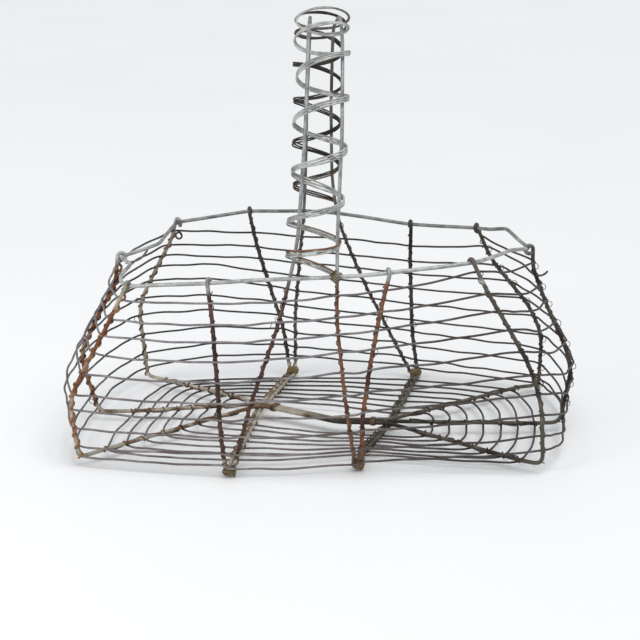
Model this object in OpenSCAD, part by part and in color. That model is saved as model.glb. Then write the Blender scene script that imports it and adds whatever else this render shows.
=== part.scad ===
// Hand-made wire egg basket. Fourteen wall ribs hang from a bent rim wire, run down the
// flared walls, turn under at the feet and cross the floor. A thin wire goes round the outside
// in ten spiral courses, and a fine wire binds every rib. Two ribs go on over the rim as a
// double carrying hoop that is wound with three thin strands.
// Millimetres. Origin on the table at the middle of the basket, +X along its length,
// +Y towards the rear long side, +Z up.

/* [Wires] */
// Diameter of the rim wire
rim_d = 2.1; // [1.8:0.1:2.6]
// Diameter of the rib wires
rib_d = 2.2; // [1.8:0.1:2.8]
// Diameter of the two hoops, whose wire is thinner than the other ribs
hoop_d = 1.9; // [1.6:0.1:2.4]
// Diameter of the course wires of the walls and the floor
course_d = 1.2; // [0.9:0.1:1.4]
// Diameter of each strand wound round the handle
strand_d = 1; // [0.8:0.1:1.2]
// Diameter of the fine wire that binds the ribs
binding_d = 0.5; // [0.4:0.1:0.6]
// Diameter of the tie wire at the feet and the spine
tie_d = 0.9; // [0.7:0.1:1]

/* [Walls] */
// How far an end course bows out between two ribs
end_bow = 6; // [1:1:7]
// How far a side course bows out between two ribs
side_bow = 1.5; // [1:0.5:3]

/* [Floor] */
// Height of the floor ribs at their feet, above the table
floor_z = 6; // [5:1:8]
// Distance between the three ribs that lie side by side in the spine
spine_gap = 2.6; // [2.6:0.1:4]
// How far a floor course bows out between two ribs
floor_bow = 3; // [1:1:4]

/* [Handle] */
// Height of the top of the handle hoops above the table
handle_h = 232; // [220:4:260]
// Turns of the strands round the whole handle
wrap_turns = 14; // [10:1:16]
// How far the strands reach to each side of the handle's middle
wrap_half_w = 14; // [13:0.5:16]
// How far the strands reach in front of and behind the hoops
wrap_half_t = 5.5; // [4:0.5:8]

/* [Hidden] */
// How far from its corner a bend of a rib or of the rim starts
bend_r = 3;

zinc = [0.62, 0.66, 0.66];
worn = [0.42, 0.38, 0.35];
rust = [0.5, 0.3, 0.18];
brass = [0.62, 0.5, 0.28];

// Wall ribs, in order round the basket, each from the rim down to its foot
left_front = [
    [-95, -68, 98], [-109, -70, 73], [-122, -73, 50],
    [-128, -74, 37], [-127, -75, 24], [-124, -76, 5]
];
front_1 = [[-51, -74, 102], [-48, -83, 78], [-46, -88, 48], [-45, -88, 23], [-43, -87, 0.6]];
front_2 = [[-9, -75, 105], [-14, -82, 83], [-21, -87, 63], [-29, -88, 41], [-40, -87, 0.6]];
front_3 = [[15.5, -75, 106], [16, -82, 83], [18.5, -87, 61], [21, -87, 37], [24, -73, 0.6]];
front_4 = [[42, -73, 108], [37.5, -81, 87], [33, -87, 62], [29, -86, 35], [27, -73, 0.6]];
right_front = [
    [84, -58, 110], [94, -61, 92], [104, -63, 76],
    [115, -66, 57], [121, -69, 39], [122.5, -74, 6]
];
right_middle = [[115, 0, 104], [117, 0, 94], [126, 0, 70], [136, -1, 49], [140, -1, 37], [134, -4, 5]];
right_rear = [[85, 60, 102], [94.5, 61, 83], [109.5, 63, 64], [118, 64, 53], [125.5, 65, 36], [124, 65, 4]];
rear_4 = [[46, 77, 100], [45.5, 85, 78], [46, 89, 45], [47, 88, 25], [50.5, 87, 0.6]];
rear_3 = [[2, 76, 107], [7, 83, 87], [18, 88, 59], [30, 89, 34], [47.5, 87, 0.6]];
rear_2 = [[-18, 77, 108], [-21, 83, 87], [-24, 88, 60], [-26, 89, 39], [-26.5, 87, 0.6]];
rear_1 = [[-51, 74, 108], [-48, 84, 83], [-40, 88, 53], [-34, 89, 33], [-29.5, 87, 0.6]];
left_rear = [
    [-93, 61, 104], [-97, 63, 93], [-109, 68, 72],
    [-118.5, 71, 54], [-120.5, 72, 43], [-117, 70, 4]
];
left_middle = [[-113, -3, 98], [-117, -2, 83], [-128, -1, 64], [-139, 0, 43], [-139.5, 0, 34], [-131, -1, 5]];
ribs = [
    left_front, front_1, front_2, front_3, front_4, right_front, right_middle,
    right_rear, rear_4, rear_3, rear_2, rear_1, left_rear, left_middle
];

// How far the courses climb above the even spacing at the top, the middle and the foot of each rib
lifts = [
    [2, -2, -2], [0, -3, 0], [-1, -2, -2], [1, 2, -3], [2, 3, -1], [6, 6, 6], [2, -5, -7],
    [-2, -9, -5], [-6, -7, -1], [-8, -8, 0], [-8, -3, 5], [-5, 0, 6], [4, 10, 2], [4, 7, -1]
];
// Even spacing of the ten courses and of the spiral's end, as fractions of the rim's height
levels = [0.91, 0.81, 0.73, 0.64, 0.54, 0.43, 0.34, 0.24, 0.14, 0.07, 0.04];

// The rim is bent between its corners as well as at the ribs
rim_bends = [
    [-95, -68, 98], [-51, -74, 102], [-9, -75, 105], [15.5, -75, 106], [42, -73, 108], [84, -58, 110],
    [88, -50, 109], [95, -36, 108], [104, -12, 106], [115, 0, 104], [103, 37, 107], [94, 43, 105],
    [85, 60, 102], [46, 77, 100], [2, 76, 107], [-18, 77, 108], [-51, 74, 108], [-93, 61, 104],
    [-96, 22, 100], [-104, 8, 99], [-113, -3, 98], [-102, -28, 100], [-104, -44, 98], [-101, -58, 98]
];

// The ribs meet at two points in the floor. Three long ribs lie side by side between them,
// and the ribs that cross the floor pass below
hub_left = [-38, 9, floor_z + 2];
spine_bend = [10, -15, floor_z + 1];
hub_right = [38, -17, floor_z + 2];
hub_drop = rib_d + 0.1;
// The ten places where the ribs turn into the floor, and where each one meets the spine
floor_ins = [
    [-114, -67, floor_z], [-41, -72, floor_z - 1], [26, -58, floor_z - 1], [112, -69, floor_z],
    [122, -10, floor_z], [112, 57, floor_z - 1], [49, 74, floor_z - 1], [-28, 74, floor_z - 1],
    [-104, 60, floor_z - 1], [-112, -3, floor_z]
];
under = [0, 0, -hub_drop];
beside = [0, spine_gap, 0];
floor_ends = [
    hub_left - beside, hub_left + under, hub_right + under, hub_right - beside, hub_right,
    hub_right + beside, hub_right + under, hub_left + under, hub_left + beside, hub_left
];

// The handle hoops above the rim, from the front leg over the top to the rear leg
hoop_left_top = [
    [-9, -75, 105], [-4, -76, 126], [0, -70, 180], [-1, -42, handle_h - 12], [-4, 0, handle_h],
    [-9, 42, handle_h - 12], [-14, 70, 180], [-17, 77, 128], [-18, 77, 108]
];
hoop_right_top = [
    [15.5, -75, 106], [16, -76, 126], [18.5, -70, 180], [17, -42, handle_h - 12], [12, 0, handle_h],
    [4, 42, handle_h - 12], [0, 70, 180], [-1, 77, 128], [2, 76, 107]
];

// ---- Paths ----
function unit(v) = v / norm(v);
function mix(a, b, t) = a + (b - a) * t;
function reversed(list) = [for (i = [len(list) - 1:-1:0]) list[i]];
function flat(v) = [v.x, v.y, 0];
// Outward direction of the wall at a point, from the oval plan of the basket
function outward(p) = unit([p.x / 142, p.y / 62, 0]);
// Point of a falling path at height z
function at_height(path, z, i = 0) =
    i >= len(path) - 2 || path[i + 1].z <= z
    ? mix(path[i], path[i + 1], (path[i].z - z) / (path[i].z - path[i + 1].z))
    : at_height(path, z, i + 1);
// Length of a path up to its point n, and the point at a distance along it
function length_to(path, n) = n == 0 ? 0 : length_to(path, n - 1) + norm(path[n] - path[n - 1]);
function along(path, s, i = 0) =
    let (d = norm(path[i + 1] - path[i]))
    i >= len(path) - 2 || s <= d
    ? mix(path[i], path[i + 1], s / d)
    : along(path, s - d, i + 1);

// Sharp bends of a path become short arcs of three points; slight bends stay as they are
function rounded(path, closed = false) = let (n = len(path)) [
    for (i = [0:n - 1])
        let (p = path[i], last = path[(i + n - 1) % n], next = path[(i + 1) % n])
        let (u = unit(last - p), v = unit(next - p))
        let (s = min(bend_r, norm(last - p) * 0.4, norm(next - p) * 0.4))
        for (q = !closed && (i == 0 || i == n - 1) || u * v < -0.9 ? [p] :
            [p + u * s, p + (u + v) * s / 4, p + v * s]) q
];

// A round wire swept along a path. Its rings are turned as little as possible from one to the
// next, starting from the direction called first
module swept(path, d, sides, closed = false, first = [0, 0, 1]) {
    n = len(path);
    heading = [for (i = [0:n - 1])
        let (after = closed ? (i + 1) % n : min(i + 1, n - 1))
        let (before = closed ? (i + n - 1) % n : max(i - 1, 0))
        unit(path[after] - path[before])];
    facing = [for (i = 0, a = square_to(first, heading[0]); i < n;
        i = i + 1, a = i < n ? square_to(a, heading[i]) : a) a];
    rings = [for (i = [0:n - 1])
        let (b = cross(heading[i], facing[i]))
        for (k = [0:sides - 1])
            path[i] + (facing[i] * cos(360 * k / sides) + b * sin(360 * k / sides)) * d / 2];
    skin = [for (i = [0:closed ? n - 1 : n - 2])
        for (k = [0:sides - 1])
            let (here = i * sides, there = (i + 1) % n * sides, k2 = (k + 1) % sides)
            for (f = [
                [here + k, there + k, here + k2],
                [here + k2, there + k, there + k2]
            ]) f];
    caps = closed ? [] :
        [[for (k = [0:sides - 1]) k], [for (k = [sides - 1:-1:0]) (n - 1) * sides + k]];
    polyhedron(points = rings, faces = concat(skin, caps));
}
// The part of a vector that is square to a heading
function square_to(v, heading) = unit(v - heading * (v * heading));

// A fine wire wound round a path: an oval helix, wide along side and thick across it
function helix(path, turns, half_w, half_t, per_turn, shift = 0, phase = 0) = [
    for (i = [0:turns * per_turn])
        let (
            total = length_to(path, len(path) - 1),
            s = shift + (total - 2 * shift) * i / (turns * per_turn),
            p = along(path, s),
            t = unit(along(path, min(total, s + 2)) - along(path, max(0, s - 2))),
            side = unit(cross(t, abs(t.x) < 0.9 ? [1, 0, 0] : [0, 1, 0])),
            over = cross(t, side),
            angle = 360 * i / per_turn + phase
        )
        p + side * cos(angle) * half_t + over * sin(angle) * half_w
];

// ---- Rib shapes ----
eye = (rim_d + rib_d) / 2 + 0.1;
// The rib's end goes up outside the rim, over it and back under it, in an eye
function eye_end(rim) =
    let (out = outward(rim) * eye, up = [0, 0, eye])
    [rim - out * 0.4 - up, rim - out - up * 0.8, rim - out + up, rim + out + up, rim + out - up * 0.6];
function wall(rib) = [for (i = [1:len(rib) - 1]) rib[i]];
function eyed(rib) = concat(eye_end(rib[0]), wall(rib));
// A hoop rib passes just inside the rim and goes on upwards
function beside_rim(rib) = concat([rib[0] - outward(rib[0]) * eye], wall(rib));

// A long rib starts at one end wall, runs along the spine and goes up the other end wall
module long_rib(from, start, end, to) {
    path = concat(
        eyed(from),
        [floor_ins[start], floor_ends[start], spine_bend + floor_ends[start] - hub_left],
        [floor_ends[end], floor_ins[end]], reversed(eyed(to)));
    color(zinc) swept(rounded(path), rib_d, 8);
}

// The floor part of a rib that crosses from the front to the rear, moved sideways in x
function across_floor(start, end, shift) = [
    for (p = [floor_ins[start], floor_ends[start], floor_ins[end]]) p + [shift, 0, 0]
];

module cross_rib(front, start, end, rear, shift) {
    path = concat(eyed(front), across_floor(start, end, shift), reversed(eyed(rear)));
    color(worn) swept(rounded(path), rib_d, 8);
}

module handle_hoop(front, start, end, rear, top, shift) {
    over = [for (i = [1:len(top) - 2]) top[i]];
    path = concat(
        beside_rim(front), across_floor(start, end, shift), reversed(beside_rim(rear)), reversed(over));
    color(zinc) swept(rounded(path, closed = true), hoop_d, 8, closed = true, first = [1, 0, 0]);
}

module rim_wire() {
    color(zinc) swept(rounded(rim_bends, closed = true), rim_d, 8, closed = true);
}

// ---- Wall courses ----
course_out = (rib_d + course_d) / 2 + 0.1;
function lift(rib, f) =
    let (l = lifts[rib]) f < 0.5 ? mix(l[0], l[1], f * 2) : mix(l[1], l[2], f * 2 - 1);
function course_point(rib, course) =
    let (
        f = course / 9,
        path = ribs[rib],
        z = max(path[len(path) - 1].z + 1, path[0].z * levels[course] + lift(rib, f)),
        p = at_height(path, z)
    )
    p + outward(p) * course_out;
function is_end(p) = abs(p.x) > 90;
// Between two ribs the course bows outwards, further at the ends. A low course arches beside the
// left rear rib, and each course sags beside the right front rib before it climbs to the next one
function between(a, b) =
    let (
        m = (a + b) / 2,
        at_end = is_end(a) && is_end(b),
        arch = m.y > 60 && m.x < -60 && m.z < 75 ? 3 : m.y < -25 && m.x > 95 ? -3 : -0.5
    )
    m + outward(m) * (at_end ? end_bow : side_bow) + [0, 0, arch];
// Each course starts at the rib in the middle of the right end, goes once round by the front,
// and comes back to that rib one level lower, where the next course starts
right_end = 6;
function course_points(course) = [
    for (k = [0:len(ribs)])
        course_point((right_end + len(ribs) - k) % len(ribs), k == len(ribs) ? course + 1 : course)
];
function bowed(points) = [
    for (i = [0:len(points) - 1])
        for (p = i == 0 ? [points[0]] : [between(points[i - 1], points[i]), points[i]]) p
];
// The end of a course stops short of the start of the next one
function shortened(path, gap) =
    let (n = len(path), end = path[n - 1])
    [for (i = [0:n - 1]) i < n - 1 ? path[i] : end + unit(path[n - 2] - end) * gap];

module wall_course(number) {
    color(worn) swept(shortened(bowed(course_points(number - 1)), course_d + 0.2), course_d, 6);
}

// A short stretch above the first course, between the last two ribs of the right end
module first_course() {
    start = at_height(right_rear, 97);
    path = [start + outward(start) * course_out, [105, 28, 96], course_point(right_end, 0) + [0, 2, 0]];
    color(worn) swept(path, course_d, 6);
}

// ---- Floor courses ----
floor_out = (rib_d + course_d) / 2 + 0.1;
function floor_point(i, t) = mix(floor_ins[i], floor_ends[i], t) - [0, 0, floor_out];
function floor_between(a, b) = let (m = (a + b) / 2) m + unit(flat(m)) * floor_bow;
function floor_path(t) = [
    for (i = [0:len(floor_ins) - 1])
        let (a = floor_point(i, t), b = floor_point((i + 1) % len(floor_ins), t))
        for (p = [a, floor_between(a, b)]) p
];

module floor_course(number) {
    color(worn) swept(floor_path(0.02 + (number - 1) * 0.115), course_d, 6, closed = true);
}

// ---- Bindings ----
binding_r = (rib_d + binding_d) / 2 + 0.25;
// A wall binding starts a little below the rim and stops above the foot
module wall_binding(rib, tone) {
    start = at_height(rib, rib[0].z - 8);
    end = at_height(rib, 9);
    path = concat([start], [for (p = rib) if (p.z < start.z - 2 && p.z > end.z) p], [end]);
    color(tone) swept(helix(path, 10, binding_r, binding_r, 5), binding_d, 4);
}

// A floor binding goes round one rib, or round a pair when it has an extra width
module floor_binding(i, width = 0) {
    path = [mix(floor_ins[i], floor_ends[i], 0.06), mix(floor_ins[i], floor_ends[i], 0.82)];
    color(brass) swept(helix(path, 7, binding_r, binding_r + width, 5), binding_d, 4);
}

// The three strands run side by side, as a ribbon wound round both hoops
module handle_strand(number) {
    middle = [for (i = [0:len(hoop_left_top) - 1]) mix(hoop_left_top[i], hoop_right_top[i], 0.42)];
    path = helix(middle, wrap_turns, wrap_half_w, wrap_half_t, 10, shift = 4 + number * 1.4, phase = 145);
    color(zinc) swept(path, strand_d, 4);
}

// ---- Ties ----
// A few turns of tie wire round wires that lie side by side
module tie(centre, axis, half_w, half_t) {
    path = [centre - axis * tie_d * 1.6, centre + axis * tie_d * 1.6];
    swept(helix(path, 3, half_w, half_t, 8), tie_d, 5);
}
tie_r = (rib_d + tie_d) / 2 + 0.15;

module foot_tie(foot) {
    color(brass) tie(flat(foot) + [0, 0, 6], [0, 0, 1], tie_r + 1.8, tie_r);
}

// Round the three long ribs where they lie side by side
module spine_tie(from, to, t) {
    axis = unit(to - from);
    color(brass) tie(mix(from, to, t), axis, tie_r + spine_gap, tie_r);
}

// Aslant round the rim and the hoop just inside it, where the handle strands end
module rim_tie() {
    color(zinc) tie(front_3[0] + [-0.5, 1.2, 0], unit([1, 0, 1]), tie_r + 1.1, tie_r + 1.2);
}

rim_wire();
long_rib(left_front, 0, 3, right_front);  // long_rib_front
long_rib(left_middle, 9, 4, right_middle);  // long_rib_middle
long_rib(left_rear, 8, 5, right_rear);  // long_rib_rear
cross_rib(front_1, 1, 7, rear_1, -1.3);  // cross_rib_left
cross_rib(front_4, 2, 6, rear_4, 1.3);  // cross_rib_right
handle_hoop(front_2, 1, 7, rear_2, hoop_left_top, 1.3);  // handle_hoop_left
handle_hoop(front_3, 2, 6, rear_3, hoop_right_top, -1.3);  // handle_hoop_right
handle_strand(1);  // handle_strand_1
handle_strand(2);  // handle_strand_2
handle_strand(3);  // handle_strand_3
first_course();
wall_course(1);  // wall_course_01
wall_course(2);  // wall_course_02
wall_course(3);  // wall_course_03
wall_course(4);  // wall_course_04
wall_course(5);  // wall_course_05
wall_course(6);  // wall_course_06
wall_course(7);  // wall_course_07
wall_course(8);  // wall_course_08
wall_course(9);  // wall_course_09
wall_course(10);  // wall_course_10
floor_course(1);  // floor_course_1
floor_course(2);  // floor_course_2
floor_course(3);  // floor_course_3
floor_course(4);  // floor_course_4
floor_course(5);  // floor_course_5
floor_course(6);  // floor_course_6
floor_course(7);  // floor_course_7
wall_binding(left_front, rust);  // binding_left_front
wall_binding(front_1, rust);  // binding_front_1
wall_binding(front_2, rust);  // binding_front_2
wall_binding(front_3, rust);  // binding_front_3
wall_binding(front_4, rust);  // binding_front_4
wall_binding(right_front, worn);  // binding_right_front
wall_binding(right_middle, rust);  // binding_right_middle
wall_binding(right_rear, worn);  // binding_right_rear
wall_binding(rear_4, worn);  // binding_rear_4
wall_binding(rear_3, worn);  // binding_rear_3
wall_binding(rear_2, worn);  // binding_rear_2
wall_binding(rear_1, worn);  // binding_rear_1
wall_binding(left_rear, brass);  // binding_left_rear
wall_binding(left_middle, rust);  // binding_left_middle
floor_binding(0);  // floor_binding_left_front
floor_binding(1, 1.25);  // floor_binding_foot_front_left
floor_binding(2, 1.25);  // floor_binding_foot_front_right
floor_binding(3);  // floor_binding_right_front
floor_binding(4);  // floor_binding_right_middle
floor_binding(5);  // floor_binding_right_rear
floor_binding(6, 1.25);  // floor_binding_foot_rear_right
floor_binding(7, 1.25);  // floor_binding_foot_rear_left
floor_binding(8);  // floor_binding_left_rear
floor_binding(9);  // floor_binding_left_middle
foot_tie((front_1[4] + front_2[4]) / 2);  // foot_tie_front_left
foot_tie((front_3[4] + front_4[4]) / 2);  // foot_tie_front_right
foot_tie((rear_1[4] + rear_2[4]) / 2);  // foot_tie_rear_left
foot_tie((rear_3[4] + rear_4[4]) / 2);  // foot_tie_rear_right
spine_tie(hub_left, spine_bend, 0.2);  // spine_tie_left
spine_tie(spine_bend, hub_right, 0.7);  // spine_tie_right
rim_tie();
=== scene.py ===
import math
import bpy
import bmesh
from mathutils import Matrix, Vector, noise


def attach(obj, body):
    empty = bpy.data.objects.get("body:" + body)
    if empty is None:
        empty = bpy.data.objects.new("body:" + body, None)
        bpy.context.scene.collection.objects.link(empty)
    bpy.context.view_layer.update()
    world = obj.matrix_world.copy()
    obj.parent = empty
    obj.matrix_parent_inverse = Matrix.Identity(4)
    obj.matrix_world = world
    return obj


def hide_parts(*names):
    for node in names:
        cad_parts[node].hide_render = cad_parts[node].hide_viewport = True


# A hand-made wire egg basket. Every wire of the model is remade here as a smooth round
# wire with its bends, eyes, hooks, lashings and weathering. Lengths are in millimetres
# until mm() turns them into the frame's metres.

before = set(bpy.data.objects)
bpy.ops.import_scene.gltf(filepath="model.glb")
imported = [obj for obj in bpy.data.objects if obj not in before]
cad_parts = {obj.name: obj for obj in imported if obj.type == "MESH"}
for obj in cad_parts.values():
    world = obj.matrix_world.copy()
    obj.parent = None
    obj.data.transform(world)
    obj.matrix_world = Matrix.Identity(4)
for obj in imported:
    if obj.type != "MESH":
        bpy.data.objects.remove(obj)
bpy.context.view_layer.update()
scene = bpy.context.scene

# The small waves in the wires are drawn from this seed, so they are the same on every run
wave_seed = 7
noise.seed_set(wave_seed)

upward = Vector((0, 0, 1))


def mm(p):
    return Vector(p) * 0.001


def unit(v):
    return v.normalized()


# ---------------------------------------------------------------- camera and light

lens = 91.125
sensor_width = 36.0
view_target = Vector((-1.3, 0.0, 61.7))
view_from = Vector((0.0997, -0.9564, 0.2744))
view_distance = 914.25
view_roll = -0.86


def camera():
    data = bpy.data.cameras.new("view")
    data.lens = lens
    data.sensor_width = sensor_width
    back = unit(view_from)
    side = unit(upward.cross(back))
    up = back.cross(side)
    turn = math.radians(view_roll)
    right = side * math.cos(turn) + up * math.sin(turn)
    over = up * math.cos(turn) - side * math.sin(turn)
    place = mm(view_target + back * view_distance)
    obj = bpy.data.objects.new("view", data)
    obj.matrix_world = Matrix((
        (right.x, over.x, back.x, place.x),
        (right.y, over.y, back.y, place.y),
        (right.z, over.z, back.z, place.z),
        (0, 0, 0, 1)))
    scene.collection.objects.link(obj)
    scene.camera = obj


def area_light(name, place, target, size, power, colour):
    data = bpy.data.lights.new(name, "AREA")
    data.shape = "DISK"
    data.size = size
    data.energy = power
    data.color = colour
    obj = bpy.data.objects.new(name, data)
    obj.location = place
    obj.rotation_euler = (Vector(target) - Vector(place)).to_track_quat("-Z", "Y").to_euler()
    scene.collection.objects.link(obj)


def lights():
    world = bpy.data.worlds.new("studio")
    scene.world = world
    world.use_nodes = True
    sky = world.node_tree.nodes["Background"]
    sky.inputs["Color"].default_value = (0.96, 0.98, 1.0, 1)
    sky.inputs["Strength"].default_value = 0.6
    sun = bpy.data.lights.new("overhead", "SUN")
    sun.energy = 1.62
    sun.angle = math.radians(45)
    sun.color = (1, 0.99, 0.97)
    obj = bpy.data.objects.new("overhead", sun)
    obj.rotation_euler = Vector((0.3, -0.25, 1.0)).to_track_quat("Z", "Y").to_euler()
    scene.collection.objects.link(obj)
    area_light("side", (-0.9, -0.9, 0.7), (0, 0, 0.06), 0.5, 5, (1, 0.98, 0.95))
    scene.view_settings.view_transform = "Standard"


camera()
lights()


# ---------------------------------------------------------------- finishes

class Value:
    """A shader socket that takes part in sums."""

    def __init__(self, finish, socket):
        self.finish = finish
        self.socket = socket

    def sum(self, kind, a, b):
        return self.finish.node("ShaderNodeMath", {"operation": kind}, {0: a, 1: b})

    def __add__(self, other):
        return self.sum("ADD", self, other)

    __radd__ = __add__

    def __sub__(self, other):
        return self.sum("SUBTRACT", self, other)

    def __rsub__(self, other):
        return self.sum("SUBTRACT", other, self)

    def __mul__(self, other):
        return self.sum("MULTIPLY", self, other)

    __rmul__ = __mul__


class Finish:
    """A material whose nodes are all made by one method."""

    def __init__(self, name):
        self.material = bpy.data.materials.new(name)
        self.material.use_nodes = True
        self.tree = self.material.node_tree
        self.shader = self.tree.nodes["Principled BSDF"]
        self.place = self.node("ShaderNodeTexCoord", {}, {}, "Object")

    def node(self, kind, settings, inputs, output=0):
        made = self.tree.nodes.new(kind)
        for key, value in settings.items():
            setattr(made, key, value)
        for key, value in inputs.items():
            self.feed(made.inputs[key], value)
        return Value(self, made.outputs[output])

    def feed(self, socket, value):
        if isinstance(value, Value):
            self.tree.links.new(value.socket, socket)
        else:
            socket.default_value = value

    def patches(self, size, detail=3.0, rough=0.55, skew=0.0):
        """Cloudy noise with patches of a size in millimetres."""
        return self.node("ShaderNodeTexNoise", {}, {
            "Vector": self.place, "Scale": 1000.0 / size, "Detail": detail,
            "Roughness": rough, "Distortion": skew}, "Fac")

    def step(self, value, low, high):
        return self.node("ShaderNodeMapRange", {"interpolation_type": "SMOOTHSTEP"}, {
            "Value": value, "From Min": low, "From Max": high})

    def mixed(self, factor, a, b):
        """Colour a where the factor is 0 and colour b where it is 1."""
        def rgba(c):
            return c if isinstance(c, Value) else (*c, 1.0)
        inputs = {0: factor, 6: rgba(a), 7: rgba(b)}
        return self.node("ShaderNodeMix", {"data_type": "RGBA"}, inputs, 2)

    def beyond(self, axis, low, high):
        """0 below a place along one of the basket's axes and 1 above it, in millimetres."""
        place = self.node("ShaderNodeSeparateXYZ", {}, {0: self.place}, axis)
        return self.step(place, low * 0.001, high * 0.001)

    def blended(self, factor, a, b):
        """Two sets of tones mixed tone by tone."""
        return [self.mixed(factor, x, y) for x, y in zip(a, b)]


finishes = {}

# Where the tones change, in millimetres: between the front and the rear or the two ends, and
# between the cream and the dull part of the floor
HALFWAY = (-20, 20)
FLOOR_CHANGE = (-25, 10)

# Each set of tones is bare metal, oxide and stain
PALE = ((0.30, 0.31, 0.30), (0.50, 0.51, 0.49), (0.12, 0.10, 0.085))
ZINC = ((0.13, 0.142, 0.14), (0.26, 0.275, 0.27), (0.06, 0.05, 0.042))
HOOP = ((0.22, 0.235, 0.23), (0.38, 0.40, 0.385), (0.09, 0.07, 0.055))
# Painted shade: the darker zinc of the hoops' rear legs above the rim
HOOP_SHADE = ((0.08, 0.08, 0.075), (0.15, 0.15, 0.14), (0.04, 0.03, 0.025))
ROPE = ((0.26, 0.18, 0.11), (0.50, 0.43, 0.33), (0.18, 0.06, 0.02))
CREAM = ((0.24, 0.22, 0.17), (0.38, 0.34, 0.25), (0.09, 0.055, 0.03))
PLUM = ((0.07, 0.032, 0.026), (0.12, 0.055, 0.04), (0.03, 0.012, 0.010))
TAN = ((0.14, 0.055, 0.03), (0.23, 0.10, 0.05), (0.055, 0.018, 0.01))
BROWN = ((0.13, 0.07, 0.04), (0.24, 0.13, 0.07), (0.05, 0.02, 0.012))
DARK = ((0.05, 0.042, 0.035), (0.10, 0.08, 0.065), (0.022, 0.014, 0.011))
# Painted shade: the near black tones of wires seen at the rear
DEEP_SHADE = ((0.028, 0.025, 0.023), (0.06, 0.05, 0.042), (0.014, 0.010, 0.009))
OLIVE = ((0.075, 0.068, 0.052), (0.14, 0.12, 0.09), (0.025, 0.016, 0.011))
RUST = ((0.24, 0.08, 0.025), (0.33, 0.17, 0.08), (0.07, 0.022, 0.010))
UMBER = ((0.14, 0.06, 0.025), (0.26, 0.15, 0.08), (0.04, 0.017, 0.010))
BRASS = ((0.16, 0.115, 0.05), (0.26, 0.20, 0.10), (0.07, 0.035, 0.014))
FLOOR = ((0.34, 0.32, 0.26), (0.50, 0.46, 0.37), (0.13, 0.075, 0.04))


def weathered(name, tones, staining, shine=0.5, roughness=0.5):
    """Wire with dull oxide patches, and darker stains with pits over part of it."""
    f = Finish(name)
    metal, oxide, stain = tones(f) if callable(tones) else tones
    cloud = f.patches(6.0, 4.0, 0.6)
    speck = f.patches(0.9, 2.0)
    broad = f.patches(17.0, 3.0, 0.5, 0.4)
    oxidised = f.step(cloud + speck * 0.35, 0.55, 0.8)
    stain_edge = 0.78 - staining * 0.4
    stained = f.step(broad * 0.7 + cloud * 0.35 + speck * 0.15, stain_edge, stain_edge + 0.12)
    colour = f.mixed(oxidised, metal, oxide)
    colour = f.mixed(stained, colour, stain)
    colour = f.mixed(f.step(speck, 0.62, 0.75) * 0.5, colour, (0.02, 0.013, 0.01))
    f.feed(f.shader.inputs["Base Color"], colour)
    dulled = oxidised * (shine * 0.45)
    f.feed(f.shader.inputs["Metallic"], shine - dulled - stained * (shine * 0.4))
    f.feed(f.shader.inputs["Roughness"], roughness + oxidised * 0.15 + stained * 0.2)
    pitted = f.node("ShaderNodeBump", {}, {
        "Strength": 0.5, "Distance": 0.00012, "Height": speck + cloud * 0.6 + stained * 0.5})
    f.feed(f.shader.inputs["Normal"], pitted)
    finishes[name] = f.material


def floor_tones(f):
    """Cream zinc at the left, dull olive at the right, and brassy down at the feet."""
    across = f.blended(f.beyond("X", *FLOOR_CHANGE), FLOOR, OLIVE)
    return f.blended(f.beyond("Z", 3, 4.5), BRASS, across)


def on_floor(f, walls):
    """The tones of the walls, with the floor's tones below their foot."""
    return f.blended(f.beyond("Z", 9.4, 11), floor_tones(f), walls)


def parted(near, far, axis, near_top, far_top=None):
    """Tones of the near and the far half of a rib, with the floor's own tones in between. A
    top is the height above which a half takes other tones, and those tones."""
    def tones(f):
        halves = []
        for half, top in ((near, near_top), (far, far_top)):
            if top:
                half = f.blended(f.beyond("Z", top[0] - 2.5, top[0] + 2.5), half, top[1])
            halves.append(half)
        return on_floor(f, f.blended(f.beyond(axis, *HALFWAY), *halves))
    return tones


def hoop_tones(front):
    """Zinc above the rim, paler in front and darker behind under painted shade, with tones of its
    own down the front wall and dark painted shade down the rear."""
    def tones(f):
        # The darker tones at the rear, on the walls and on the legs, are painted shade.
        walls = on_floor(f, f.blended(f.beyond("Y", *HALFWAY), front, DARK))
        legs = f.blended(f.beyond("Y", *HALFWAY), HOOP, HOOP_SHADE)
        return f.blended(f.beyond("Z", 98, 110), walls, legs)
    return tones


def strand_tones(rusty):
    """A handle strand is pale in front and near black behind with painted shade, and a rusty one
    is brown above.
    """
    def tones(f):
        # The near black rear half is painted shade.
        pair = f.blended(f.beyond("Y", *HALFWAY), PALE, DEEP_SHADE)
        return f.blended(f.beyond("Z", 125, 140), BROWN, pair) if rusty else pair
    return tones


# The rim is paler in front and darker at the rear: painted light and shade on the zinc.
def rim_tones(f):
    return f.blended(f.beyond("Y", -10, 60), PALE, ZINC)


def floor_lash_tones(f):
    return f.blended(f.beyond("X", *FLOOR_CHANGE), BROWN, DARK)


weathered("rim_zinc", rim_tones, 0.2, 0.6, 0.4)
weathered("left_hoop", hoop_tones(PLUM), 0.35, 0.55, 0.45)
weathered("right_hoop", hoop_tones(TAN), 0.35, 0.55, 0.45)
weathered("front_long_rib", parted(ROPE, OLIVE, "X", (94, CREAM), (98, PALE)), 0.6)
weathered("middle_long_rib", parted(ROPE, DARK, "X", (94, PALE), (100, ZINC)), 0.6)
weathered("rear_long_rib", parted(CREAM, DARK, "X", (101, PALE)), 0.3)
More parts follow.
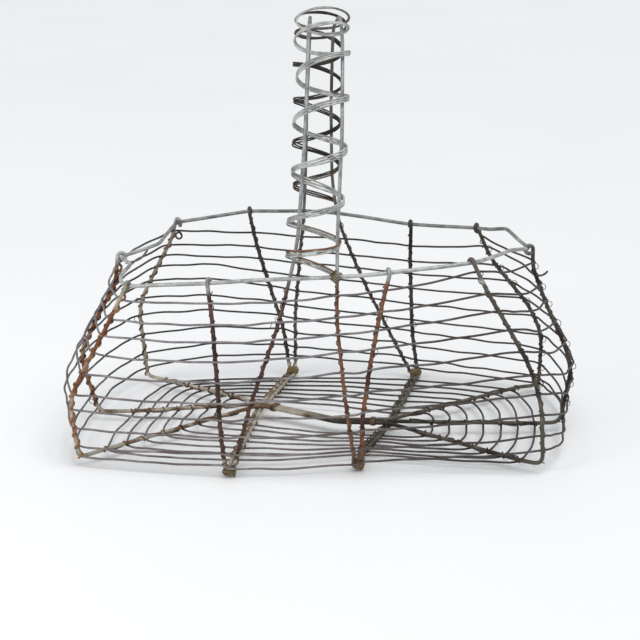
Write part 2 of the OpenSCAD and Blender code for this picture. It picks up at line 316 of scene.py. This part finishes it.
# The rear halves of the cross ribs are painted shade: dark and near black tones.
weathered("left_cross_rib", parted(PLUM, DARK, "Y", (98, PALE)), 0.5)
weathered("right_cross_rib", parted(TAN, DEEP_SHADE, "Y", (105, PALE)), 0.5)
weathered("rust_lash", RUST, 0.4, 0.2, 0.7)
weathered("umber_lash", UMBER, 0.55, 0.2, 0.7)
weathered("plum_lash", PLUM, 0.45, 0.3, 0.6)
weathered("tan_lash", TAN, 0.45, 0.3, 0.6)
weathered("brown_lash", BROWN, 0.5, 0.3, 0.65)
weathered("cream_lash", CREAM, 0.45, 0.4, 0.6)
weathered("olive_lash", OLIVE, 0.5, 0.4, 0.6)
weathered("dark_lash", DARK, 0.5, 0.4, 0.55)
weathered("black_lash", DEEP_SHADE, 0.5, 0.4, 0.55)
weathered("brass_lash", BRASS, 0.45, 0.45, 0.5)
weathered("floor_lash", floor_lash_tones, 0.5, 0.3, 0.65)
weathered("curl_lash", OLIVE, 0.6, 0.5, 0.5)
weathered("strand_zinc", strand_tones(False), 0.25, 0.6, 0.4)
weathered("strand_rust", strand_tones(True), 0.35, 0.5, 0.5)


def course_finish():
    """Course wire: grey with a plum cast on the front wall, darkened at the rear by painted
    shade, and darker at the right.
    """
    f = Finish("course_wire")
    cloud = f.patches(7.0, 3.0)
    speck = f.patches(0.8, 2.0)
    broad = f.patches(30.0, 2.0)
    rear = f.beyond("Y", -20, 60)
    right = f.beyond("X", -10, 90)
    patch = f.step(cloud, 0.4, 0.7)
    upper = f.beyond("Z", 25, 70)
    front_colour = f.mixed(
        upper, f.mixed(patch, (0.16, 0.14, 0.14), (0.27, 0.245, 0.24)),
        f.mixed(patch, (0.18, 0.165, 0.175), (0.29, 0.27, 0.28)))
    # The courses of the rear wall are painted in shade: near black tones in place of the back-lit
    # wire.
    rear_shaded_colour = f.mixed(patch, (0.036, 0.034, 0.033), (0.08, 0.075, 0.071))
    end_colour = f.mixed(patch, (0.05, 0.042, 0.038), (0.09, 0.077, 0.068))
    colour = f.mixed(right, f.mixed(rear, front_colour, rear_shaded_colour), end_colour)
    colour = f.mixed(f.step(broad, 0.5, 0.7) * 0.5, colour, (0.06, 0.035, 0.028))
    colour = f.mixed(f.step(speck, 0.58, 0.75) * 0.5, colour, (0.03, 0.018, 0.014))
    f.feed(f.shader.inputs["Base Color"], colour)
    f.feed(f.shader.inputs["Metallic"], 0.6 - f.step(cloud, 0.45, 0.65) * 0.25)
    f.feed(f.shader.inputs["Roughness"], 0.42 + cloud * 0.2)
    f.feed(f.shader.inputs["Normal"], f.node("ShaderNodeBump", {}, {
        "Strength": 0.4, "Distance": 0.00008, "Height": speck + cloud * 0.5}))
    finishes["course_wire"] = f.material


course_finish()


def floor():
    f = Finish("pale_floor")
    cloud = f.patches(300.0, 2.0)
    f.feed(f.shader.inputs["Base Color"], f.mixed(cloud, (0.83, 0.84, 0.86), (0.87, 0.88, 0.89)))
    f.feed(f.shader.inputs["Roughness"], 0.45 + cloud * 0.1)
    made = bmesh.new()
    bmesh.ops.create_grid(made, x_segments=1, y_segments=1, size=6.0)
    mesh = bpy.data.meshes.new("floor")
    made.to_mesh(mesh)
    made.free()
    obj = bpy.data.objects.new("floor", mesh)
    mesh.materials.append(f.material)
    scene.collection.objects.link(obj)


floor()


# ---------------------------------------------------------------- paths

def vectors(points):
    return [Vector(p) for p in points]


def smooth(points, bend=4.0, closed=False, steps=4):
    """Straight stretches joined by round bends, each starting a set distance from its corner,
    or nearer where the stretches are short."""
    n = len(points)
    longest = 0.47
    path = []
    for i, p in enumerate(points):
        if not closed and i in (0, n - 1):
            path.append(p.copy())
            continue
        to_last = points[i - 1] - p
        to_next = points[(i + 1) % n] - p
        reach = min(bend, to_last.length * longest, to_next.length * longest)
        a = p + unit(to_last) * reach
        b = p + unit(to_next) * reach
        for k in range(steps + 1):
            t = k / steps
            path.append(a * (1 - t) ** 2 + p * (2 * t * (1 - t)) + b * t * t)
    return path


def lengths_of(path):
    """How far along the path each of its points is."""
    total = [0.0]
    for a, b in zip(path, path[1:]):
        total.append(total[-1] + (b - a).length)
    return total


def spaced(path, gap, closed=False):
    """The same path with its points an even gap apart."""
    points = path + [path[0]] if closed else path
    lengths = lengths_of(points)
    count = max(2, round(lengths[-1] / gap))
    result = []
    at = 0
    for k in range(count if closed else count + 1):
        s = lengths[-1] * k / count
        while at < len(points) - 2 and lengths[at + 1] < s:
            at += 1
        span = max(1e-9, lengths[at + 1] - lengths[at])
        result.append(points[at].lerp(points[at + 1], (s - lengths[at]) / span))
    return result


def uneven(path, amount, size, seed):
    """Small hand-made waves in a path."""
    shift = Vector((seed * 7.3, seed * 3.1, seed * 1.7))
    return [p + noise.noise_vector(p / size + shift) * amount for p in path]


def outward(p):
    """The level direction away from the inside of the basket."""
    return unit(Vector((p.x / 142, p.y / 62, 0)))


def at_height(path, z):
    """Where a path that runs down passes a height."""
    for a, b in zip(path, path[1:]):
        if b.z <= z <= a.z or b is path[-1]:
            return a.lerp(b, (a.z - z) / (a.z - b.z))


# ---------------------------------------------------------------- wires

def wire(name, paths, d, finish, sides, closed=False, node=None):
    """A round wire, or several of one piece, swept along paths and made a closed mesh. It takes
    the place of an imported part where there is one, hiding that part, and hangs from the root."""
    end_taper = 0.7
    curve = bpy.data.curves.new(name, "CURVE")
    curve.dimensions = "3D"
    curve.bevel_depth = d * 0.0005
    curve.bevel_resolution = (sides - 4) // 2
    curve.use_fill_caps = True
    for path in paths:
        spline = curve.splines.new("POLY")
        spline.points.add(len(path) - 1)
        for point, p in zip(spline.points, path):
            point.co = (*mm(p), 1)
        spline.use_cyclic_u = closed
        if not closed:
            spline.points[0].radius = end_taper
            spline.points[-1].radius = end_taper
    shaper = bpy.data.objects.new(name + "_path", curve)
    scene.collection.objects.link(shaper)
    bpy.context.view_layer.update()
    shaped = shaper.evaluated_get(bpy.context.evaluated_depsgraph_get())
    mesh = bpy.data.meshes.new_from_object(shaped)
    bpy.data.objects.remove(shaper)
    made = bmesh.new()
    made.from_mesh(mesh)
    bmesh.ops.remove_doubles(made, verts=made.verts, dist=1e-7)
    bmesh.ops.recalc_face_normals(made, faces=made.faces)
    for face in made.faces:
        face.smooth = True
    made.to_mesh(mesh)
    made.free()
    mesh.name = name
    mesh.materials.clear()
    mesh.materials.append(finishes[finish])
    piece = bpy.data.objects.new(name, mesh)
    scene.collection.objects.link(piece)
    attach(piece, "root")
    if node:
        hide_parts(node)


# ---------------------------------------------------------------- the basket's measures

rim_d = 2.1
rib_d = 2.2
hoop_d = 1.9
course_d = 1.2
curl_d = 0.4
floor_z = 6
handle_h = 232
shoulder_h = handle_h - 12
wall_bend = 9.0
hoop_bend = 14.0
course_bend = 8.0
course_gap = 1.6
wall_turns = 10
floor_turns = 7

# Sides of a heavy wire, of a course and of binding wire
heavy, light, fine = 14, 8, 6

# The corners of every wall rib, from the rim down to its foot
ribs = {name: vectors(points) for name, points in {
    "left_front": [
        (-95, -68, 98), (-109, -70, 73), (-122, -73, 50), (-128, -74, 37), (-127, -75, 24),
        (-124, -76, 5)],
    "front_1": [(-51, -74, 102), (-48, -83, 78), (-46, -88, 48), (-45, -88, 23), (-43, -87, 0.6)],
    "front_2": [(-9, -75, 105), (-14, -82, 83), (-21, -87, 63), (-29, -88, 41), (-40, -87, 0.6)],
    "front_3": [(15.5, -75, 106), (16, -82, 83), (18.5, -87, 61), (21, -87, 37), (24, -73, 0.6)],
    "front_4": [(42, -73, 108), (37.5, -81, 87), (33, -87, 62), (29, -86, 35), (27, -73, 0.6)],
    "right_front": [
        (84, -58, 110), (94, -61, 92), (104, -63, 76), (115, -66, 57), (121, -69, 39),
        (122.5, -74, 6)],
    "right_middle": [
        (115, 0, 104), (117, 0, 94), (126, 0, 70), (136, -1, 49), (140, -1, 37), (134, -4, 5)],
    "right_rear": [
        (85, 60, 102), (94.5, 61, 83), (109.5, 63, 64), (118, 64, 53), (125.5, 65, 36),
        (124, 65, 4)],
    "rear_4": [(46, 77, 100), (45.5, 85, 78), (46, 89, 45), (47, 88, 25), (50.5, 87, 0.6)],
    "rear_3": [(2, 76, 107), (7, 83, 87), (18, 88, 59), (30, 89, 34), (47.5, 87, 0.6)],
    "rear_2": [(-18, 77, 108), (-21, 83, 87), (-24, 88, 60), (-26, 89, 39), (-26.5, 87, 0.6)],
    "rear_1": [(-51, 74, 108), (-48, 84, 83), (-40, 88, 53), (-34, 89, 33), (-29.5, 87, 0.6)],
    "left_rear": [
        (-93, 61, 104), (-97, 63, 93), (-109, 68, 72), (-118.5, 71, 54), (-120.5, 72, 43),
        (-117, 70, 4)],
    "left_middle": [
        (-113, -3, 98), (-117, -2, 83), (-128, -1, 64), (-139, 0, 43), (-139.5, 0, 34),
        (-131, -1, 5)],
}.items()}
around = list(ribs)

# How far the courses lie above their levels at the top, the middle and the foot of each rib
lifts = dict(zip(around, [
    (2, -2, -2), (0, -3, 0), (-1, -2, -2), (1, 2, -3), (2, 3, -1), (6, 6, 6), (2, -5, -7),
    (-2, -9, -5), (-6, -7, -1), (-8, -8, 0), (-8, -3, 5), (-5, 0, 6), (4, 10, 2), (4, 7, -1)]))
# The height of each course as a share of the rib's height
levels = [0.91, 0.81, 0.73, 0.64, 0.54, 0.43, 0.34, 0.24, 0.14, 0.07, 0.04]

rim_bends = vectors([
    (-95, -68, 98), (-51, -74, 102), (-9, -75, 105), (15.5, -75, 106), (42, -73, 108),
    (84, -58, 110), (88, -50, 109), (95, -36, 108), (104, -12, 106), (115, 0, 104),
    (103, 37, 107), (94, 43, 105), (85, 60, 102), (46, 77, 100), (2, 76, 107), (-18, 77, 108),
    (-51, 74, 108), (-93, 61, 104), (-96, 22, 100), (-104, 8, 99), (-113, -3, 98),
    (-102, -28, 100), (-104, -44, 98), (-101, -58, 98)])

# How far each of the two wires from a foot lies from the line between them
pair_shift = 1.25
hub_left = Vector((-38, 9, floor_z + 2))
spine_bend = Vector((10, -15, floor_z + 1))
hub_right = Vector((38, -17, floor_z + 2))

# Places below and beside a rib in the spine
under = Vector((0, 0, -2.3))
beside = Vector((0, 2.6, 0))

# Where each floor rib starts at the edge of the floor, and where it ends at the spine
turns_in = vectors([
    (-114, -67, 6), (-41, -72, 5), (26, -58, 5), (112, -69, 6), (122, -10, 6),
    (112, 57, 5), (49, 74, 5), (-28, 74, 5), (-104, 60, 5), (-112, -3, 6)])
spine_ends = [
    hub_left - beside, hub_left + under, hub_right + under, hub_right - beside, hub_right,
    hub_right + beside, hub_right + under, hub_left + under, hub_left + beside, hub_left]

# The hoops above the rim
hoop_left_top = vectors([
    (-9, -75, 105), (-4, -76, 126), (0, -70, 180), (-1, -42, shoulder_h), (-4, 0, handle_h),
    (-9, 42, shoulder_h), (-14, 70, 180), (-17, 77, 128), (-18, 77, 108)])
hoop_right_top = vectors([
    (15.5, -75, 106), (16, -76, 126), (18.5, -70, 180), (17, -42, shoulder_h), (12, 0, handle_h),
    (4, 42, shoulder_h), (0, 70, 180), (-1, 77, 128), (2, 76, 107)])


# ---------------------------------------------------------------- rim, ribs and hoops

def rim():
    path = spaced(smooth(rim_bends, 3.5, closed=True, steps=5), 1.5, closed=True)
    wire("rim", [uneven(path, 0.3, 25.0, 1)], rim_d, "rim_zinc", heavy, closed=True,
         node="rim_wire")


def eye(top, radius, turn, drift):
    """The rib's end goes round the rim, from the inside back to the outside, in an eye. The
    turn is in degrees and the drift is how far apart its two ends lie."""
    out = outward(top)
    along = out.cross(upward)
    count = 16
    loop = []
    for k in range(count + 1):
        left = 1 - k / count
        angle = math.radians(turn * left)
        rise = Vector((0, 0, math.sin(angle) * radius))
        loop.append(top + out * math.cos(angle) * radius + rise + along * drift * left)
    return loop


# The eye of a rib that is only hooked over the rim
hook = {"turn": 215, "drift": 0.6}


def wall(name, radius=2.15, turn=330, drift=2.4):
    """A wall rib from its eye down to its foot."""
    points = ribs[name]
    top = eye(points[0], radius, turn, drift)
    return top[:-1] + smooth([top[-1]] + points[1:], wall_bend)


def over_floor(front, rear, down, middle, up, bend):
    """One wire down a wall, over the floor and up another wall."""
    turned = smooth([down[-2], ribs[front][-1]] + middle + [ribs[rear][-1], up[-2]], bend)
    return down[:-1] + turned[1:-1] + up[:-1][::-1]


def long_ribs():
    """Three ribs that run from end to end and lie side by side in the spine."""
    step = spine_bend - hub_left
    for node, left, right, i, j, finish in (
            ("long_rib_front", "left_front", "right_front", 0, 3, "front_long_rib"),
            ("long_rib_middle", "left_middle", "right_middle", 9, 4, "middle_long_rib"),
            ("long_rib_rear", "left_rear", "right_rear", 8, 5, "rear_long_rib")):
        down = wall(left)
        up = wall(right, **hook) if right == "right_front" else wall(right)
        middle = [turns_in[i], spine_ends[i], spine_ends[i] + step, spine_ends[j], turns_in[j]]
        path = over_floor(left, right, down, middle, up, 5.0)
        wire(node, [uneven(path, 0.3, 22.0, i + 2)], rib_d, finish, heavy, node=node)


def across_floor(i, j, shift):
    """From the front edge of the floor to its rear edge, beside the paired wire."""
    side = Vector((shift, 0, 0))
    return [p + side for p in (turns_in[i], spine_ends[i], turns_in[j])]


def cross_ribs():
    """Single ribs that cross the floor below the spine, hooked over the rim at both ends."""
    for node, front, rear, i, j, shift, finish in (
            ("cross_rib_left", "front_1", "rear_1", 1, 7, -pair_shift, "left_cross_rib"),
            ("cross_rib_right", "front_4", "rear_4", 2, 6, pair_shift, "right_cross_rib")):
        down = wall(front, 2.1, **hook)
        up = wall(rear, 2.1, **hook)
        path = over_floor(front, rear, down, across_floor(i, j, shift), up, 4.0)
        wire(node, [uneven(path, 0.3, 22.0, i + 7)], rib_d, finish, heavy, node=node)


def inside_rim(name):
    """A wall rib that passes the rim on its inside."""
    inside = 2.35
    top = ribs[name][0]
    return [top - outward(top) * inside] + ribs[name][1:]


def hoops():
    """The two wires that cross the floor, run up both walls and meet as the handle."""
    for node, front, rear, i, j, shift, top, finish in (
            ("handle_hoop_left", "front_2", "rear_2", 1, 7, pair_shift, hoop_left_top,
             "left_hoop"),
            ("handle_hoop_right", "front_3", "rear_3", 2, 6, -pair_shift, hoop_right_top,
             "right_hoop")):
        corners = inside_rim(front) + across_floor(i, j, shift)
        corners += inside_rim(rear)[::-1] + top[1:-1][::-1]
        path = smooth(corners, hoop_bend, closed=True, steps=6)
        wire(node, [uneven(path, 0.3, 25.0, i + 11)], hoop_d, finish, heavy, closed=True,
             node=node)


rim()
long_ribs()
cross_ribs()
hoops()


# ---------------------------------------------------------------- courses

# How far outside the middle of a rib a course runs
course_out = (rib_d + course_d) / 2 + 0.1


def lifted(name, f):
    """The lift at a share of the way from the first course to the last."""
    top, middle, foot = lifts[name]
    return top + (middle - top) * f * 2 if f < 0.5 else middle + (foot - middle) * (f * 2 - 1)


def course_height(name, course):
    path = ribs[name]
    lift = lifted(name, course / (wall_turns - 1))
    return max(path[-1].z + 1, path[0].z * levels[course] + lift)


def crossing(name, course):
    """Where a course crosses a rib, on the outside of the rib."""
    p = at_height(ribs[name], course_height(name, course))
    return p + outward(p) * course_out


def bowed(points):
    """Points with one more between each two, where the wire bows outwards and sags a little. It
    arches up at the left of the rear wall and sags more at the right of the front wall."""
    result = [points[0]]
    for a, b in zip(points, points[1:]):
        middle = (a + b) / 2
        at_end = min(abs(a.x), abs(b.x)) > 90
        bow = 6 if at_end else 1.5
        arch = -0.5
        if middle.y > 60 and middle.x < -60 and middle.z < 75:
            arch = 3.0
        elif middle.y < -25 and middle.x > 95:
            arch = -3.0
        result += [middle + outward(middle) * bow + upward * arch, b]
    return result


def rear_left_curl():
    """A little ring that a wire's end makes at the left rear rib, below the rim."""
    centre = Vector((-91, 56, 97))
    radius = 1.9
    per_turn = 18
    ring = []
    for k in range(per_turn + 3):
        angle = 0.6 + k * 2 * math.pi / per_turn
        place = Vector((math.cos(angle) * radius, -0.06 * k, math.sin(angle) * radius))
        ring.append(centre + place)
    return ring


left_end = vectors([(-100.6, 10.5, 99), (-102.5, 5, 96), (-105.5, 2, 94.5), (-111.5, 0, 93.5)])
right_end = vectors([(119, -3, 90), (121.5, -1, 89), (124, 1.5, 89.5), (125.5, 2.5, 91)])


def loose_end(corners):
    return spaced(smooth(corners, 2.5), 1.0)


def wall_courses():
    """Turns of one long spiral, each from the right middle rib round by the front and the
    rear, with a ring and a loose wire at the left end."""
    start = around.index("right_middle")
    turn = [around[(start - k) % len(around)] for k in range(len(around))]
    for k in range(wall_turns):
        points = [crossing(name, k) for name in turn] + [crossing("right_middle", k + 1)]
        path = spaced(smooth(bowed(points), course_bend), course_gap)
        paths = [uneven(path, 0.8, 15.0, k + 20)]
        if k == 0:
            paths += [rear_left_curl(), loose_end(left_end)]
        name = f"wall_course_{k + 1:02d}"
        wire(name, paths, course_d, "course_wire", light, node=name)


def first_course():
    """A short stretch above the first course at the right end, with a loose end beside it."""
    start = at_height(ribs["right_rear"], 97)
    path = [start + outward(start) * course_out, Vector((105, 28, 96)),
            crossing("right_middle", 0) + Vector((0, 2, 0))]
    main = uneven(spaced(smooth(path, course_bend), course_gap), 0.4, 15.0, 19)
    wire("first_course", [main, loose_end(right_end)], course_d, "course_wire", light,
         node="first_course")


def floor_share(k):
    """How far in along the floor ribs a floor course lies."""
    return 0.02 + k * 0.115


def floor_point(i, t):
    return turns_in[i].lerp(spine_ends[i], t) - upward * course_out


def floor_courses():
    """Rings under the floor ribs, each bowed out between them."""
    for k in range(floor_turns):
        t = floor_share(k)
        points = []
        for i in range(len(turns_in)):
            a = floor_point(i, t)
            b = floor_point((i + 1) % len(turns_in), t)
            middle = (a + b) / 2
            points += [a, middle + unit(Vector((middle.x, middle.y, 0))) * 3]
        path = spaced(smooth(points, 9.0, closed=True), 2.0, closed=True)
        name = f"floor_course_{k + 1}"
        wire(name, [uneven(path, 0.6, 18.0, k + 40)], course_d, "course_wire", light, closed=True,
             node=name)


first_course()
wall_courses()
floor_courses()


# ---------------------------------------------------------------- lashings

def headings_of(path):
    last = len(path) - 1
    return [unit(path[min(i + 1, last)] - path[max(i - 1, 0)]) for i in range(len(path))]


def frames(path):
    """Two directions square to the path at each of its points, turned as little as possible."""
    headings = headings_of(path)
    side = unit(headings[0].orthogonal())
    result = []
    for heading in headings:
        side = unit(side - heading * side.dot(heading))
        result.append((side, heading.cross(side)))
    return result


def lashed(path, marks, radius, seed, at_mark, between, wide=0.0):
    """A fine wire wound along a rib: a turn or so at every mark and slack turns between them,
    now and then a little off the rib. A wide one goes round two ribs side by side."""
    gap = 0.4
    half_mark = 1.4
    body = spaced(path, gap)
    square = frames(body)
    result = []
    angle = seed * 1.9
    for k, (p, s) in enumerate(zip(body, lengths_of(body))):
        close = min(abs(s - m) for m in marks) < half_mark
        rate = 2 * math.pi * (at_mark / (2 * half_mark) if close else 1 / between)
        stand = max(0.0, noise.noise(Vector((s / 3.0, seed * 5.1, 0)))) * 0.25
        a, b = square[k]
        count = 3 if close else 1
        for step in range(count):
            part = step / count
            here = angle + rate * gap * part
            place = p.lerp(body[min(k + 1, len(body) - 1)], part)
            result.append(place + a * math.cos(here) * (radius + stand)
                          + b * math.sin(here) * (radius + wide + stand))
        angle += rate * gap
    return result


# For every rib: finish, wire diameter, turns at a crossing, length of a slack turn
# The dark and near black lashings of the ribs rear_1 to rear_4 are painted shade.
lash_style = {
    "left_front": ("rust_lash", 1.35, 0.5, 8.0), "front_1": ("plum_lash", 0.6, 1.3, 8.0),
    "front_2": ("plum_lash", 0.6, 1.3, 8.0), "front_3": ("tan_lash", 0.55, 1.2, 9.0),
    "front_4": ("tan_lash", 0.6, 1.3, 7.0), "right_front": ("olive_lash", 0.6, 1.4, 9.0),
    "right_middle": ("dark_lash", 0.6, 1.3, 7.0), "right_rear": ("dark_lash", 0.6, 1.3, 7.0),
    "rear_4": ("black_lash", 0.55, 1.3, 8.0), "rear_3": ("dark_lash", 0.55, 1.3, 8.0),
    "rear_2": ("dark_lash", 0.55, 1.3, 8.0), "rear_1": ("dark_lash", 0.6, 1.3, 8.0),
    "left_rear": ("brown_lash", 1.1, 0.5, 8.0), "left_middle": ("umber_lash", 1.5, 0.5, 7.0)}
# How often small loops of fine wire stand off the rib
curly = {
    "left_front": 0.15, "front_2": 0.25, "front_4": 0.3, "right_front": 0.3,
    "right_middle": 0.9, "right_rear": 0.8, "left_rear": 0.3, "left_middle": 0.35,
    "rear_1": 0.15, "rear_4": 0.3}
body_gap = 0.5


def little_loops(name, body, marks, seed):
    """Small loose rings of fine wire that stand off the rib beside its crossings."""
    share = curly.get(name, 0.0)
    square = frames(body)
    loops = []
    for k, mark in enumerate(marks):
        chance = noise.noise(Vector((k * 3.3, seed * 2.7, 0.4))) * 0.5 + 0.5
        if chance > 0.25 + share * 0.5:
            continue
        index = min(len(body) - 2, max(1, int((mark + 3.0) / body_gap)))
        p, (a, b) = body[index], square[index]
        heading = unit(body[index + 1] - body[index - 1])
        away = unit(Vector((p.x, 0.15 * p.y, 0)).cross(heading).cross(heading)) * (-1)
        size = 1.1 + 0.9 * chance
        centre = p + away * (rib_d / 2 + size * 0.7) + a * 0.4
        loop = []
        for n in range(20):
            t = 0.3 * n + 2.6
            loop.append(centre + away * math.cos(t) * size + heading * math.sin(t) * size * 1.15
                        + b * 0.12 * (t - 3.5))
        loops.append(loop)
    return loops


def wall_lashings():
    """The binding of every wall rib starts a little below the rim. The thicker the wire, the
    deeper it beds round the rib."""
    below_rim = 9
    for n, name in enumerate(around):
        finish, d, at_mark, between = lash_style[name]
        body = spaced(smooth(ribs[name], wall_bend), body_gap)
        total = lengths_of(body)
        marks = []
        for course in range(wall_turns):
            z = course_height(name, course)
            marks.append([s for p, s in zip(body, total) if p.z >= z][-1])
        radius = (rib_d + d) / 2 - 0.1 - max(0.0, d - 0.6) * 0.45
        starts = [m - below_rim * body_gap for m in marks]
        node = "binding_" + name
        wound = lashed(body[below_rim:], starts, radius, n + 1, at_mark, between)
        wire(node, [wound], d, finish, fine, node=node)
        loops = little_loops(name, body, marks, n + 1)
        if loops:
            wire("loops_" + name, loops, curl_d, "curl_lash", fine)


def floor_lashings():
    """Loose binding of the floor ribs, with a turn at every floor course."""
    reach = 0.86
    d = 0.8
    names = [
        "left_front", "foot_front_left", "foot_front_right", "right_front", "right_middle",
        "right_rear", "foot_rear_right", "foot_rear_left", "left_rear", "left_middle"]
    for i, name in enumerate(names):
        path = [turns_in[i], turns_in[i].lerp(spine_ends[i], reach)]
        length = (path[1] - path[0]).length / reach
        marks = [floor_share(k) * length for k in range(floor_turns)]
        node = "floor_binding_" + name
        paired = pair_shift if "foot" in name else 0.0
        wound = lashed(path, marks, (rib_d + 0.6) / 2, i + 31, 1.1, 45.0, paired)
        wire(node, [wound], d, "floor_lash", fine, node=node)


def handle_wrap():
    """Three strands side by side, wound as a ribbon round both hoops."""
    strand_gap = 1.15
    tight_part, tight_pitch, pitch = 30, 18, 26
    start = math.radians(115)
    half_thick, half_wide = 5.5, 14
    middle = [a.lerp(b, 0.42) for a, b in zip(hoop_left_top, hoop_right_top)]
    path = spaced(smooth(middle, hoop_bend, steps=6), 1.0)
    total = lengths_of(path)
    headings = headings_of(path)
    for number, finish in ((1, "strand_zinc"), (2, "strand_zinc"), (3, "strand_rust")):
        strand = []
        for p, s, heading in zip(path, total, headings):
            along = s - (number - 2) * strand_gap
            if along < 0.5 or along > total[-1] - 5:
                continue
            turned = (along - tight_part) / (pitch if along > tight_part else tight_pitch)
            angle = start + turned * 2 * math.pi
            side = unit(heading.cross(Vector((1, 0, 0))))
            over = heading.cross(side)
            swell = 1 + 0.08 * noise.noise(Vector((s / 20.0, 0, 3.7)))
            strand.append(p + side * math.cos(angle) * half_thick
                          + over * math.sin(angle) * half_wide * swell)
        node = f"handle_strand_{number}"
        wire(node, [uneven(strand, 0.7, 14.0, number * 0.05 + 60)], 1.0, finish, light, node=node)


def coil(centre, axis, across, half_w, half_t, turns, pitch, bulge=0.0):
    """Turns of tie wire round wires that lie side by side, wider in the middle by a bulge."""
    thick = axis.cross(across)
    per_turn = 16
    count = turns * per_turn
    path = []
    for k in range(count + 1):
        angle = 2 * math.pi * k / per_turn
        width = 1 - bulge * (1 - math.sin(math.pi * k / count))
        place = across * math.cos(angle) * half_w + thick * math.sin(angle) * half_t
        path.append(centre + axis * pitch * turns * (k / count - 0.5) + place * width)
    return path


def ties():
    """Ties round the wires at the feet, in the spine and below the rim."""
    for node, a, b, turns in (
            ("foot_tie_front_left", "front_1", "front_2", 4),
            ("foot_tie_front_right", "front_3", "front_4", 6),
            ("foot_tie_rear_left", "rear_1", "rear_2", 5),
            ("foot_tie_rear_right", "rear_3", "rear_4", 5)):
        foot = (ribs[a][-1] + ribs[b][-1]) / 2
        centre = Vector((foot.x, foot.y, 1.2 + turns * 0.5))
        path = coil(centre, upward, Vector((1, 0, 0)), 3.3, 1.9, turns, 0.95, 0.35)
        wire(node, [uneven(path, 0.4, 3.0, turns)], 1.15, "brass_lash", light, node=node)
    for node, a, b, t in (
            ("spine_tie_left", hub_left, spine_bend, 0.2),
            ("spine_tie_right", spine_bend, hub_right, 0.7)):
        axis = unit(b - a)
        across = unit(upward.cross(axis))
        path = coil(a.lerp(b, t), axis, across, 4.3, 1.7, 3, 0.9)
        wire(node, [path], 0.9, "brown_lash", light, node=node)
    crossed = ribs["front_3"][0] + Vector((-0.5, 1.2, 0))
    path = coil(crossed, unit(Vector((1, 0, 1))), Vector((0, 1, 0)), 2.7, 2.5, 5, 1.0)
    wire("rim_tie", [uneven(path, 0.4, 3.0, 9)], 0.95, "cream_lash", light, node="rim_tie")


wall_lashings()
floor_lashings()
handle_wrap()
ties()
